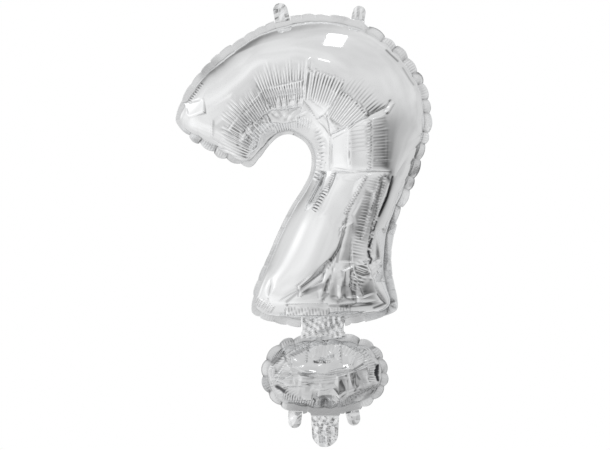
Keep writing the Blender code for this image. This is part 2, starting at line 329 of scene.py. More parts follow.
def crease_relief(places, creases):
    """Height of the creases, and the shade painted where the film folds in deeply."""
    relief = np.zeros(places.shape[:2])
    shade = np.zeros(places.shape[:2])
    for from_x, from_z, to_x, to_z, depth, width, dark in creases:
        reach = np.array((to_x - from_x, to_z - from_z))
        offset = places - (from_x, from_z)
        share = np.clip(offset @ reach / (reach @ reach), 0, 1)
        gap = np.linalg.norm(offset - share[..., None] * reach, axis=-1)
        relief -= depth * (0.35 + 0.65 * np.sin(np.pi * share)) * np.exp(-gap / width)
        if dark:
            shade = np.maximum(shade, dark * smooth_step(1.5 * width, 0.4 * width, gap))
    return relief, shade


def without_plane(places, height, chosen):
    """What is left of a height once the plane nearest to it is taken away."""
    flat = np.concatenate((np.ones_like(places[..., :1]), places), -1)
    plane, *_ = np.linalg.lstsq(flat[chosen], height[chosen], rcond=None)
    return height - flat @ plane


def within(places, corners):
    """How far inside a facet's straight sides each place lies, and the facet's middle."""
    middle = corners.mean(axis=0)
    inside = np.full(places.shape[:2], np.inf)
    for a, b in zip(corners, np.roll(corners, -1, axis=0)):
        inward = unit(np.array((a[1] - b[1], b[0] - a[0])))
        inward *= np.sign((middle - a) @ inward)
        inside = np.minimum(inside, (places - a) @ inward)
    return inside, middle


def facet_relief(places, height, facets):
    relief = np.zeros(places.shape[:2])
    for corners, share, to_right, to_top, edge in facets:
        inside, middle = within(places, np.array(corners, float))
        change = share * without_plane(places, height, inside > 0) + (places - middle) @ (to_right, to_top)
        relief -= change * smooth_step(-edge, edge, inside)
    return relief


def crumple_relief(places, crumples, rng):
    """Crumpled film: small facets between zigzag folds in several directions."""
    relief = np.zeros(places.shape[:2])
    for x, z, half_x, half_z, facet, slope in crumples:
        offset = places - (x, z)
        inside = smooth_step(1.0, 0.7, np.hypot(offset[..., 0] / half_x, offset[..., 1] / half_z))
        for turn in rng.uniform(0, math.pi, 5):
            period = facet * rng.uniform(1.0, 4.0)
            across = offset @ np.array((math.cos(turn), math.sin(turn)))
            beside = offset @ np.array((-math.sin(turn), math.cos(turn)))
            for reach in (1.3, 3.1):
                sway = rng.uniform(1.0, 1.6) * reach * facet
                across = across + 0.35 * sway * np.sin(beside / sway + rng.uniform(0, 6))
            relief += slope * period * inside * (np.abs((across / period + rng.uniform()) % 1.0 - 0.5) - 0.25)
    return relief


def all_folds(places, height, tables, rng):
    """Height in metres of every kind of fold, and the shade painted in them; places are in mm."""
    creases, fans, lanes, facets, crumples = tables
    relief, shade = crease_relief(places, creases)
    relief += facet_relief(places, height / MM, facets) + fan_relief(places, fans, rng)
    lanes_up, lanes_shade = lane_relief(places, lanes, rng)
    relief += lanes_up + crumple_relief(places, crumples, rng)
    return relief * MM, np.maximum(shade, lanes_shade)


class Seam:
    """Closed outline of an envelope, with its lobes: where the seam is drawn in between them."""

    def __init__(self, outline, weights, strengths, lobe_length, rng):
        closed = np.concatenate((outline, outline[:1]))
        self.way = travelled(closed)
        self.length = self.way[-1]
        self.outline = closed
        self.weights = np.concatenate((weights, weights[:1]))
        self.strengths = np.concatenate((strengths, strengths[:1]))
        count = int(round(self.length / lobe_length))
        ends = np.concatenate(([0.0], np.cumsum(rng.uniform(0.75, 1.3, count))))
        self.ends = ends * self.length / ends[-1]
        self.curl = rng.uniform(-1.0, 1.0, count)
        self.crown = rng.uniform(0.75, 1.1, count)
        self.lean = rng.uniform(-1.0, 1.0, count)
        self.hatch = np.maximum(rng.uniform(-0.6, 1.0, count), 0.0)

    def at(self, way):
        """Place, outward direction, scallop weight, lobe number and share within the lobe."""
        way = np.mod(way, self.length)
        place = np.stack([np.interp(way, self.way, self.outline[:, k]) for k in (0, 1)], -1)
        step = 0.004
        ahead, behind = np.mod(way + step, self.length), np.mod(way - step, self.length)
        run = np.stack([np.interp(ahead, self.way, self.outline[:, k])
                        - np.interp(behind, self.way, self.outline[:, k]) for k in (0, 1)], -1)
        outward = unit(np.stack((-run[..., 1], run[..., 0]), -1))
        weight = np.interp(way, self.way, self.weights)
        lobe = np.clip(np.searchsorted(self.ends, way, side="right") - 1, 0, len(self.curl) - 1)
        share = (way - self.ends[lobe]) / (self.ends[lobe + 1] - self.ends[lobe])
        return place, outward, weight, lobe, share

    def notch(self, way):
        """0 at the middle of a lobe, rising to 1 in the sharp notch between two."""
        _, _, weight, _, share = self.at(way)
        return weight * self.strength(way) * (1 - np.abs(np.sin(np.pi * share)) ** 0.7)

    def strength(self, way):
        return np.interp(np.mod(way, self.length), self.way, self.strengths)


def pucker(grid, seam, ways, distance, depth, reach, drawn_in):
    """Valleys that run from the notches of one seam side into the film, and the drawn-in seam."""
    notch = seam.notch(ways)
    _, outward, _, _, _ = seam.at(ways)
    decay = np.exp(-distance / reach)
    valley = depth * notch * decay * (1 - np.exp(-distance / (0.25 * reach)))
    grid[..., 1] += valley
    grid[..., 0] -= drawn_in * notch * decay * outward[..., 0]
    grid[..., 2] -= drawn_in * notch * decay * outward[..., 1]


def painted_valley_shade(grid, depth):
    """How far each point lies below its neighbours, 1 at the given depth; used as shade painted in each valley."""
    mean = np.zeros_like(grid)
    mean[1:-1, 1:-1] = (grid[2:, 1:-1] + grid[:-2, 1:-1] + grid[1:-1, 2:] + grid[1:-1, :-2]) / 4 - grid[1:-1, 1:-1]
    return np.clip((mean * outward_normals(grid)).sum(-1) / depth, 0.0, 0.5)


def add_mesh(name, points, faces, material, painted_shade=None):
    mesh = bpy.data.meshes.new(name)
    mesh.vertices.add(len(points))
    mesh.vertices.foreach_set("co", np.ascontiguousarray(points, np.float32).ravel())
    mesh.loops.add(faces.size)
    mesh.loops.foreach_set("vertex_index", np.ascontiguousarray(faces, np.int32).ravel())
    mesh.polygons.add(len(faces))
    mesh.polygons.foreach_set("loop_start", np.arange(0, faces.size, faces.shape[1], dtype=np.int32))
    mesh.update(calc_edges=True)
    mesh.validate()
    mesh.shade_smooth()
    # Painted shade, kept in the valley attribute that the film's material darkens by.
    if painted_shade is not None:
        mesh.attributes.new("valley", "FLOAT", "POINT").data.foreach_set("value", painted_shade.ravel())
    mesh.materials.append(material)
    obj = bpy.data.objects.new(name, mesh)
    bpy.context.scene.collection.objects.link(obj)
    return obj


def grid_faces(rows, columns, side, closed=False):
    """Quads of a grid of points; a closed one joins its last row to its first."""
    a = np.arange(rows if closed else rows - 1)[:, None]
    b = np.arange(columns - 1)[None, :]
    after = (a + 1) % rows
    quads = np.stack((a * columns + b, after * columns + b, after * columns + b + 1, a * columns + b + 1), -1)
    quads = quads.reshape(-1, 4)
    return quads if side == FRONT else quads[:, ::-1]


def thicken(obj, thickness):
    shell = obj.modifiers.new("film", "SOLIDIFY")
    shell.thickness = thickness
    shell.offset = 0.0
    return obj


def dress(obj, body, nodes):
    """Carry a piece on its body, in place of its plain nodes."""
    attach(obj, body)
    if nodes:
        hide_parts(*nodes)


# Materials

class Signal:
    """A node's output. Arithmetic on it adds Math nodes to the same tree."""

    def __init__(self, tree, socket):
        self.tree = tree
        self.socket = socket

    def math(self, operation, *values):
        return self.tree.node("ShaderNodeMath", {"operation": operation}, dict(enumerate(values)))

    def __add__(self, other):
        return self.math("ADD", self, other)

    def __sub__(self, other):
        return self.math("SUBTRACT", self, other)

    def __rsub__(self, other):
        return self.math("SUBTRACT", other, self)

    def __mul__(self, other):
        return self.math("MULTIPLY", self, other)

    def __pow__(self, exponent):
        return self.math("POWER", self, exponent)

    __radd__ = __add__
    __rmul__ = __mul__


class Tree:
    """The node tree of a material or of the studio's surroundings."""

    def __init__(self, owner):
        owner.use_nodes = True
        self.nodes = owner.node_tree.nodes
        self.links = owner.node_tree.links

    def node(self, kind, settings=None, sockets=None, out=0):
        """Add a node; settings are set first, then each socket's value or link."""
        made = self.nodes.new(kind)
        for key, value in (settings or {}).items():
            setattr(made, key, value)
        for key, value in (sockets or {}).items():
            self.put(made.inputs[key], value)
        return Signal(self, made.outputs[out])

    def put(self, socket, value):
        if isinstance(value, Signal):
            self.links.new(value.socket, socket)
        else:
            socket.default_value = value

    def noise(self, scale, detail=2.0, roughness=0.5, distortion=0.0):
        place = self.node("ShaderNodeTexCoord", out=3)
        return self.node("ShaderNodeTexNoise", None, {
            "Vector": place, "Scale": scale, "Detail": detail, "Roughness": roughness,
            "Distortion": distortion,
        })

    def blend(self, share, low, high):
        return self.node("ShaderNodeMix", {"data_type": "RGBA"}, {0: share, 6: low, 7: high}, out=2)


PAINTED_SHADE_COLOUR = (0.05, 0.05, 0.055, 1)      # near black: shade painted into each sharp valley, crease and shaded stretch


def metal_film(name, bright, dull, roughness, waves, crinkle):
    """Metallised film: mirror bright, slightly uneven, with fine waves and crinkles in its surface, and shade painted
    on by its valley attribute.
    """
    material = bpy.data.materials.new(name)
    tree = Tree(material)
    shader = tree.nodes["Principled BSDF"].inputs
    cloud = tree.noise(9.0, 3.0)
    grain = tree.noise(420.0, 2.0)
    height = tree.noise(26.0, 2.0, 0.45) * waves + tree.noise(170.0, 3.0, 0.6, 0.6) * crinkle
    shader["Metallic"].default_value = 1.0
    # Painted shade: the valley attribute blends the colour towards near black.
    valley = tree.node("ShaderNodeAttribute", {"attribute_name": "valley"}, out="Fac")
    tree.put(shader["Base Color"], tree.blend(valley, tree.blend(cloud, dull, bright), PAINTED_SHADE_COLOUR))
    tree.put(shader["Roughness"], roughness + cloud * 0.03 + grain * 0.03)
    tree.put(shader["Normal"], tree.node("ShaderNodeBump", None, {"Distance": 0.001, "Height": height}))
    return material


PANEL_FILM = metal_film("panel_film", (0.95, 0.955, 0.96, 1), (0.91, 0.915, 0.92, 1), 0.03, 0.09, 0.02)
# The dot's film: the same foil as the hook's panels, its colour painted darker as shade.
SHADED_DOT_FILM = metal_film("dot_film", (0.79, 0.795, 0.80, 1), (0.74, 0.745, 0.75, 1), 0.03, 0.09, 0.02)
SEAM_FILM = metal_film("seam_film", (0.95, 0.955, 0.96, 1), (0.88, 0.885, 0.89, 1), 0.10, 0.4, 0.5)
# The dot's seam margin: the same foil, a little rougher, its colour painted darker as shade.
DULL_SHADED_SEAM_FILM = metal_film("dull_shaded_seam_film", (0.86, 0.865, 0.87, 1), (0.78, 0.785, 0.79, 1), 0.12, 0.4, 0.5)
CRINKLED_FILM = metal_film("crinkled_film", (0.94, 0.945, 0.95, 1), (0.86, 0.865, 0.87, 1), 0.06, 0.5, 0.6)


# The hook's panels

# Folds of the hook's film, in mm and degrees, as they lie on its front.
# Sharp folds. Columns: from x, from z, to x, to z, depth (a ridge is below 0), width, darkness of the shade painted
# inside.
HOOK_CREASES = (
    (8, -221, 53, -157, -3.4, 4, 0),
    (8, -221, 41, -249, -4.2, 4, 0),
    (67, -186, 100, -221, -2.6, 3, 0),
    (-33, -193, -25, -107, -3.1, 4, 0),
    (-29, -187, -19, -111, 2.6, 4, 0),
    (21, -265, 102, -226, 3.9, 3, 0),
    (21, -265, 102, -226, 5.2, 16, 0),
    (102, -226, 139, -206, 3.9, 6, 0),
    (21, -338, 68, -343, 4.5, 4, 0),
    (68, -343, 147, -342, 3.9, 4, 0),
    (21, -340, 147, -342, 5.2, 16, 0),
    (28, -342, 15, -372, 5.2, 4, 0),
    (-109, -204, -35, -195, -3.9, 5, 0),
    (-33, -193, -13, -223, 4.5, 4, 0),
    (-13, -223, 21, -265, 3.2, 6, 0),
    (-133, -155, -114, -197, 3.9, 4, 0),
    (-114, -197, -122, -235, 4.5, 4, 0),
    (-168, -275, -122, -235, -3.2, 5, 0),
    (-227, -233, -229, -271, -2.6, 3, 0),
    (-229, -271, -191, -300, 3.9, 5, 0),
    (-206, -250, -168, -275, 3.2, 6, 0),
    (156, -357, 122, -441, 3, 4, 0),
    (162, -351, 194, -302, 3.2, 10, 0),
    (59, -435, 44, -502, 5.2, 4, 0),
    (44, -502, 17, -546, 5.2, 5, 0),
    (17, -546, -42, -588, 5.2, 5, 0),
    (-42, -588, -84, -613, 4.5, 5, 0),
    (53, -439, 36, -506, -3.2, 5, 0),
    (32, -531, 5, -620, 4.5, 6, 0),
    (49, -540, 42, -620, -3.9, 6, 0),
    (63, -531, 68, -622, 3.9, 6, 0),
    (78, -578, 78, -622, 5.2, 4, 0),
    (114, -578, 145, -624, 5.2, 4, 0),
    (-105, -571, -109, -611, 3.9, 6, 0),
    (-94, -586, -122, -624, -3.2, 5, 0),
    (53, -628, 137, -613, 3.9, 5, 0),
    (-206, -103, -122, -69, -2.0, 14, 0),
    (19, -267, 19, -338, 3.0, 7, 0),
    (63, -250, 63, -334, -3.5, 9, 0),
    (-113, -187, -33, -178, 3.5, 6, 0),
    (-109, -170, -29, -162, -2.5, 8, 0),
    (-176, -229, -122, -183, 3.0, 7, 0),
    (155, -352, 144, -395, 1.5, 2.4, 1),
    (144, -395, 126, -435, 1.5, 2.4, 1),
    (120, -447, 114, -464, 1.5, 2.8, 1),
    (110, -483, 104, -500, 1.5, 2.6, 1),
    (103, -510, 109, -534, 1.5, 2.8, 1),
    (139, -349, 150, -363, 2, 4, 0.5),
    (142, -82, 166, -105, 1.5, 2.4, 0.6),
    (177, -120, 200, -155, 1.5, 2.2, 0.35),
    (124, -600, 142, -622, 2, 2.2, 0.9),
    (116, -630, 139, -622, 2, 2.5, 0.7),
    (46, -481, 36, -531, 2, 3, 0.45),
    (24, -525, 13, -542, 2, 2.5, 0.5),
    (13, -542, -21, -573, 2, 3, 0.4),
    (-21, -573, -70, -616, 2, 3, 0.4),
    (4, -581, -29, -595, 3, 6, 0.5),
    (68, -565, 72, -611, 4, 3.5, 0.5),
    (7, -611, 17, -599, 2, 3, 0.5),
    (38, -618, 49, -603, 2, 3, 0.4),
    (63, -590, 110, -590, 0, 14, 0.35),
    (49, -447, 46, -481, 2, 2, 0.4),
    (21, -624, 110, -622, 2, 3, 0.4),
)
# Radial pleats. Columns: centre x, centre z, from angle, to angle, from radius, to radius,
# count, height, length over which their inner ends fade, and their outer ends.
HOOK_FANS = (
    (-48, -341, 84.4, 114.6, 150, 236, 18, 2.7, 4, 42),
    (-48, -341, 62, 84.4, 148, 215, 12, 2.2, 10, 6),
    (-48, -341, 39, 61.5, 131, 192, 12, 2.4, 8, 3),
    (-48, -341, 36, 61, 193, 241, 13, 0.8, 3, 25),
    (-48, -341, 115, 145, 139, 203, 15, 2.7, 6, 22),
    (-48, -341, 117, 150, 103, 139, 10, 3.1, 14, 4),
    (-48, -341, 145, 168, 106, 186, 9, 2.7, 16, 20),
    (-48, -341, 74, 118, 89, 116, 15, 1.9, 10, 6),
    (-462, -328, -0.6, 9.9, 572, 612, 17, 0.35, 2, 18),
    (-462, -328, 3.2, 8.5, 515, 565, 6, 0.8, 18, 4),
    (-126, -296, -28, 22, 118, 139, 15, 1.2, 8, 8),
)
# Pleats across a straight line. Columns: from x, from z, to x, to z, half width, count, height, darkness of the shade
# painted between them.
HOOK_LANES = (
    (104, -235, 104, -338, 3.6, 17, 2.4, 0.15),
    (97, -351, 53, -431, 3.6, 15, 2.4, 0.5),
    (116, -351, 78, -523, 16.9, 28, 0.5, 0),
    (141, -347, 105, -498, 3.4, 26, 2.6, 0.35),
    (129, -349, 89, -485, 3.0, 24, 2.1, 0.35),
    (116, -447, 103, -531, 4.6, 9, 2.0, 0.7),
    (95, -531, 68, -590, 19.0, 9, 1.6, 0),
    (12, -382, -12, -424, 6.5, 7, 1.8, 1),
    (26, -344, 13, -380, 4, 9, 1.6, 0.4),
    (-250, -153, -279, -193, 5.5, 9, 1.6, 0.8),
    (-71, -634, 13, -639, 9.5, 15, 1.8, 0),
    (-138, -613, -101, -634, 12.7, 8, 2.2, 0),
    (21, -634, 63, -630, 8.4, 7, 2.4, 0),
)
# Facets pulled flat. Columns: x and z of its corners in order, how flat, turned right, turned up,
# half width of the fold round it.
HOOK_FACETS = (
    (((26, -271), (61, -254), (63, -340), (26, -332)), 0.9, -0.02, 0, 1.6),
    (((65, -252), (101, -235), (101, -340), (65, -340)), 0.8, 0, 0, 1.6),
    (((108, -233), (139, -218), (141, -340), (108, -340)), 0.5, 0.04, 0, 2),
    (((15, -214), (40, -187), (63, -187), (101, -227), (23, -262)), 0.6, 0, 0.05, 1.6),
    (((-27, -124), (34, -183), (11, -212), (-27, -183)), 0.5, 0.03, 0, 2),
    (((-117, -166), (-35, -149), (-35, -185), (-105, -206)), 0.7, 0, -0.14, 1.8),
    (((-153, -204), (-122, -170), (-107, -204), (-143, -241)), 0.7, 0.05, -0.08, 2),
    (((-134, -237), (-101, -210), (-40, -206), (-44, -233), (-84, -233)), 0.8, -0.05, 0.4, 2),
    (((-193, -250), (-161, -208), (-147, -241), (-172, -275)), 0.6, 0.12, -0.05, 2),
    (((-4, -229), (13, -218), (38, -254), (23, -267)), 0.8, -0.08, 0.05, 1.6),
    (((-288, -193), (-246, -187), (-243, -216), (-279, -225)), 1, 0, 0, 2),
    (((-241, -216), (-185, -180), (-176, -199), (-227, -244)), 0.4, 0.02, -0.05, 6),
    (((49, -550), (70, -540), (91, -607), (53, -607)), 0.9, 0.18, -0.14, 2.5),
    (((5, -573), (34, -544), (38, -607), (0, -607)), 0.7, 0.15, -0.05, 5),
    (((-46, -582), (17, -531), (5, -571), (-42, -603)), 0.6, 0.35, -0.1, 3),
    (((72, -540), (97, -531), (122, -595), (93, -607)), 0.7, -0.28, -0.2, 3),
    (((124, -468), (143, -460), (139, -573), (122, -573)), 0.7, 0.06, 0, 3),
    (((44, -460), (68, -447), (68, -531), (38, -531)), 0.7, 0.12, -0.08, 2),
    (((70, -433), (97, -380), (114, -384), (89, -485)), 0.5, 0.08, 0, 3),
    (((-71, -622), (17, -620), (17, -641), (-71, -643)), 0.5, 0, 0.55, 2),
    (((133, -216), (143, -218), (156, -197), (147, -191)), 1, -0.37, 0.29, 2),
    (((32, -353), (84, -355), (55, -426), (5, -431)), 0.5, 0.1, 0, 8),
)
# Crumpled places. Columns: x, z, half width, half height, size of a facet, slope.
HOOK_CRUMPLES = (
    (-147, -271, 36, 32, 9, 0.13),
    (-130, -622, 30, 18, 12, 0.08),
    (114, -544, 21, 30, 7, 0.18),
    (53, -580, 68, 42, 24, 0.05),
    (5, -296, 15, 59, 9, 0.06),
    (-67, -216, 46, 13, 6, 0.12),
)
HOOK_FOLDS = (HOOK_CREASES, HOOK_FANS, HOOK_LANES, HOOK_FACETS, HOOK_CRUMPLES)
BAY_CENTRE = (-48.0, -341.0)
BACK_TURN = 7.0             # the back's folds lie turned round the bay by this much


def hook_outline():
    """Closed outline in order: outside, foot, bay, tip, with how scalloped each stretch is."""
    edge = hook_seam_grid(400, 100)
    bay_shares = np.linspace(1, 0, 401)
    bay_weight = np.clip(np.maximum(1 - bay_shares / 0.07, (bay_shares - 0.86) / 0.10), 0, 1)
    sides = ((edge[:, -1], np.ones(401)), (edge[-1, ::-1], np.ones(101)), (edge[::-1, 0], bay_weight),
             (edge[0], np.ones(101)))
    outline = np.concatenate([side[:-1] for side, _ in sides])
    weights = np.concatenate([weight[:-1] for _, weight in sides])
    petals = np.maximum(smooth_step(0.04, 0.12, outline[:, 0]), smooth_step(-0.22, -0.27, outline[:, 1])
                        * smooth_step(-0.14, -0.18, outline[:, 0]))
    stem = smooth_step(0.06, 0.10, outline[:, 0]) * smooth_step(-0.38, -0.46, outline[:, 1])
    return outline, weights, (FLAT_LOBES + (1 - FLAT_LOBES) * petals) * (1 - 0.9 * stem)


HOOK_SEAM = Seam(*hook_outline(), SCALLOP_LENGTH, np.random.default_rng(5))


def border_ways(grid):
    """Distance along the closed seam of each border point: outside, foot, bay and tip sides."""
    rows, columns = grid.shape[:2]
    loop = np.concatenate((grid[:, -1], grid[-1, -2::-1], grid[-2::-1, 0], grid[0, 1:]))
    way = travelled(loop[:, (0, 2)])
    outside = way[:rows]
    foot = way[rows - 1:rows + columns - 1][::-1]
    bay = way[rows + columns - 2:2 * rows + columns - 2][::-1]
    tip = way[2 * rows + columns - 3:]
    return outside, foot, bay, tip, way[-1]


def pucker_all_round(grid, seam, depth, reach, drawn_in):
    """Pucker a film along all four sides of its grid."""
    outside, foot, bay, tip, total = border_ways(grid)
    scale = seam.length / total
    ways = (outside[:, None], foot[None, :], bay[:, None], tip[None, :])
    borders = (grid[:, -1:], grid[-1:], grid[:, :1], grid[:1])
    distances = [np.linalg.norm(grid - border, axis=-1) for border in borders]
    for way, distance in zip(ways, distances):
        pucker(grid, seam, np.broadcast_to(way * scale, distance.shape), distance, depth, reach, drawn_in)


def turned(places, centre, degrees):
    way = math.radians(degrees)
    spin = np.array(((math.cos(way), -math.sin(way)), (math.sin(way), math.cos(way))))
    return (places - centre) @ spin + centre


def hook_panel_grid(base, side, rng):
    """The inflated film with its folds and puckers, on a fine grid."""
    rows, columns = HOOK_CELLS
    reference = resample(base, np.linspace(0, 1, 1001), np.array((0.0, 0.35, 1.0)))[:, 1]
    reference_way = travelled(reference)
    way = np.linspace(0, reference_way[-1], rows + 1)
    along = np.interp(way, reference_way, np.linspace(0, 1, 1001))
    across = np.linspace(0, 1, columns + 1)
    grid = resample(base, along, across)
    places = grid[..., (0, 2)] / MM
    if side == BACK:
        places = turned(places, BAY_CENTRE, BACK_TURN)
    relief, shade = all_folds(places, -grid[..., 1], HOOK_FOLDS, rng)
    to_end = np.minimum(along, 1 - along)[:, None] * STROKE_LENGTH
    to_side = np.minimum(across, 1 - across)[None, :] * 0.3
    relief *= smooth_step(0.0, 0.010, np.minimum(to_end, to_side))
    grid += outward_normals(grid) * relief[..., None]
    pucker_all_round(grid, HOOK_SEAM, 0.005, 0.018, 0.003)
    return grid, shade


# The dot's panels

def dot_outline():
    edge = dot_seam_grid(100, 100)
    outline = np.concatenate((edge[:-1, -1], edge[-1, :0:-1], edge[:0:-1, 0], edge[0, :-1]))
    return outline, np.ones(len(outline)), np.ones(len(outline))


DOT_SEAM = Seam(*dot_outline(), 0.030, np.random.default_rng(8))

# Folds of the dot's film, with the same columns as the hook's.
DOT_CREASES = (
    (-76, -736, -42, -715, -4.0, 4, 0),
    (-42, -715, 39, -709, -3.5, 4, 0),
    (39, -709, 79, -728, -4.0, 4, 0),
    (79, -728, 64, -758, -4.0, 4, 0),
    (64, -758, 5, -768, -3.2, 4, 0),
    (5, -768, -59, -764, -3.2, 4, 0),
    (-59, -764, -76, -736, -3.2, 4, 0),
    (-67, -770, -4, -773, 3.5, 3, 0),
    (-8, -777, 64, -768, 3.5, 4, 0),
    (-42, -790, 69, -779, 3.2, 4, 0),
    (-50, -783, 11, -800, 3.2, 4, 0),
    (-103, -781, -93, -743, -4.0, 3, 0),
    (-103, -781, -76, -749, 4.0, 3, 0),
    (-103, -781, -63, -762, -4.0, 3, 0),
    (-103, -781, -44, -779, 4.0, 4, 0),
    (-101, -783, -69, -798, 5.0, 4, 0),
    (-106, -785, -59, -821, -4.0, 4, 0),
    (69, -749, 94, -792, 4.8, 9, 0),
    (62, -762, 69, -796, -3.2, 4, 0),
    (124, -745, 124, -785, 4.0, 4, 0),
    (111, -724, 103, -783, -3.2, 6, 0),
    (54, -821, 139, -783, -4.0, 4, 0),
    (64, -832, 120, -807, 4.0, 4, 0),
    (39, -834, 128, -796, 4.0, 5, 0),
    (-8, -804, 28, -800, -4.8, 4, 0),
    (-6, -807, -8, -843, 5.6, 4, 0),
    (28, -800, 54, -830, -4.8, 4, 0),
    (11, -821, 13, -845, 7.2, 8, 0),
    (-76, -753, -50, -745, 2.4, 4, 0),
    (125, -753, 125, -785, 1.5, 2.6, 1),
    (-91, -798, -76, -807, 5, 4, 0.9),
    (-99, -745, -78, -730, 0, 6, 0.55),
    (-1, -821, 24, -819, 3, 3, 0.6),
    (11, -836, 13, -841, 0, 14, 0.5),
    (-52, -834, -16, -847, 2, 4, 0.5),
    (-63, -836, -4, -856, 2, 5, 0.4),
    (-4, -856, 54, -851, 2, 5, 0.4),
    (79, -766, 94, -792, 3, 9, 0.3),
    (54, -836, 111, -800, 0, 10, 0.35),
    (90, -834, 135, -787, 2, 5, 0.4),
    (-12, -743, -4, -745, 2, 2, 0.8),
    (8, -743, 12, -745, 2, 2, 0.8),
    (-63, -734, -29, -719, 2, 3, 0.35),
    (-44, -768, -14, -777, 2, 3, 0.35),
    (-25, -792, -4, -792, 2, 3, 0.3),
    (45, -779, 56, -804, 2, 6, 0.3),
)
DOT_LANES = (
    (-106, -739, -80, -719, 8, 8, 2.0, 0.9),
    (-78, -819, -12, -836, 11.6, 13, 2.6, 0.45),
    (-74, -709, -42, -696, 8.4, 6, 2.4, 0),
    (69, -700, 111, -732, 8.4, 8, 2.4, 0),
    (43, -834, 69, -828, 10.5, 6, 2.7, 0),
    (-14, -743, 22, -743, 3.4, 8, 3.3, 0),
    (-29, -711, -29, -745, 3.4, 7, 2.4, 0),
    (43, -711, 45, -749, 3.4, 7, 2.4, 0),
)
DOT_FACETS = (
    (((-63, -732), (-38, -719), (1, -713), (35, -711), (69, -717), (94, -732), (92, -749), (69, -762), (22, -770), (-29, -768), (-57, -756)), 0.95, 0, 0, 2),
    (((75, -764), (101, -753), (105, -792), (77, -800)), 1, 0.16, -0.14, 2.5),
    (((58, -768), (73, -764), (75, -809), (60, -813)), 0.7, -0.08, 0, 3),
    (((37, -775), (56, -770), (58, -809), (41, -811)), 0.7, 0.12, -0.05, 3),
    (((105, -719), (126, -732), (124, -792), (105, -792)), 0.8, -0.35, -0.25, 3),
    (((-74, -800), (-14, -794), (-14, -824), (-63, -824)), 0.7, -0.08, 0.35, 4),
    (((-4, -819), (28, -819), (30, -849), (-6, -849)), 0.7, 0, -0.1, 3),
    (((-101, -796), (-110, -764), (-93, -760)), 0.7, -0.2, 0, 1.6),
    (((-101, -796), (-93, -760), (-78, -762)), 0.7, 0.15, 0, 1.6),
    (((-101, -796), (-78, -762), (-59, -770)), 0.7, 0.25, -0.1, 1.6),
    (((-101, -796), (-59, -770), (-55, -792)), 0.7, 0.15, -0.15, 1.6),
    (((-106, -732), (-76, -719), (-72, -745), (-101, -753)), 0.6, -0.05, -0.1, 2),
    (((39, -817), (111, -792), (120, -809), (54, -841)), 0.7, 0.12, -0.15, 4),
    (((-42, -773), (35, -775), (35, -796), (-42, -796)), 0.6, 0.06, -0.08, 5),
)
DOT_CRUMPLES = (
    (11, -722, 46, 21, 8, 0.16),
    (11, -694, 89, 19, 9, 0.14),
    (22, -790, 110, 50, 30, 0.05),
)
DOT_FOLDS = (DOT_CREASES, (), DOT_LANES, DOT_FACETS, DOT_CRUMPLES)
RIM_PLEATS = 78


def dot_panel_grid(base, side, rng):
    cells = DOT_CELLS
    shares = np.linspace(0, 1, cells + 1)
    grid = resample(base, shares, shares)
    out = outward_normals(grid)
    right = (grid[..., 0] - DOT_X) / DOT_HALF_WIDTH
    up = (grid[..., 2] - DOT_Z) / DOT_HALF_HEIGHT
    radius = np.hypot(right, up)
    wave, _ = pleats((np.arctan2(up, right) / (2 * math.pi) + 0.5) * RIM_PLEATS, RIM_PLEATS, rng)
    relief = 0.8 * MM * wave * smooth_step(0.66, 0.8, radius) * smooth_step(1.0, 0.9, radius)
    places = grid[..., (0, 2)] / MM
    if side == BACK:
        places = places * (-1.0, 1.0) + (2 * DOT_X / MM, 0.0)
    folds, shade = all_folds(places, -grid[..., 1], DOT_FOLDS, rng)
    relief = relief + folds * smooth_step(1.0, 0.92, radius)
    grid += out * relief[..., None]
    pucker_all_round(grid, DOT_SEAM, 0.006, 0.022, 0.004)
    return grid, shade


# Stretches of the welded edge that fold away from the light, with shade painted on them. Columns: x, z, reach,
# darkness.
SEAM_SHADOWS = (
    (12, -865, 100, 0.30),
    (110, -640, 60, 0.22),
    (152, -92, 24, 0.25),
    (205, -165, 24, 0.20),
    (-225, -130, 40, 0.25),
)

# Seam margins: the welded edge, a ribbon of lobes that curl a little to the front or the back

# Flaps that fold about their roots, in mm and degrees, as the plain nodes have them.
# Columns: node, body, slot, root x, root z, direction from +Z towards +X, length, width, turned right,
# turned down.
FLAPS = (
    ("tab_top_left", "top_left_tab", "tab_foil", -79, -17, -12, 41, 33, 0, 0),
    ("tab_top_right", "top_right_tab", "tab_foil", 82, -13, 12, 31, 29, 0.2, 0),
    ("tab_bottom_left", "bottom_left_tab", "tab_foil", -52, -853, 183, 37, 30, 0.05, 0),
    ("tab_bottom_right", "bottom_right_tab", "tab_foil", 70, -853, 168, 33, 30, 0.45, 0.3),
    ("valve_tail", "tail", "tail_foil", 12, -863, 180, 68, 60, 0.1, 0.05),
)
NECK_X = 0.0075
NECK_HALF_WIDTH = 0.046
NECK_TOP_Z = -0.662
HINGE_Z = -0.673
NECK_BOTTOM_Z = -0.684
SCALLOP_DEPTH = 0.0055


def seats_of(names):
    """Root, direction away from the margin and half width of each straight seat."""
    seats = []
    for name, _, _, x, z, angle, _, width, _, _ in FLAPS:
        if name in names:
            turn = math.radians(angle)
            seats.append((np.array((x, z)) * MM, np.array((math.sin(turn), math.cos(turn))), width * MM / 2))
    return seats


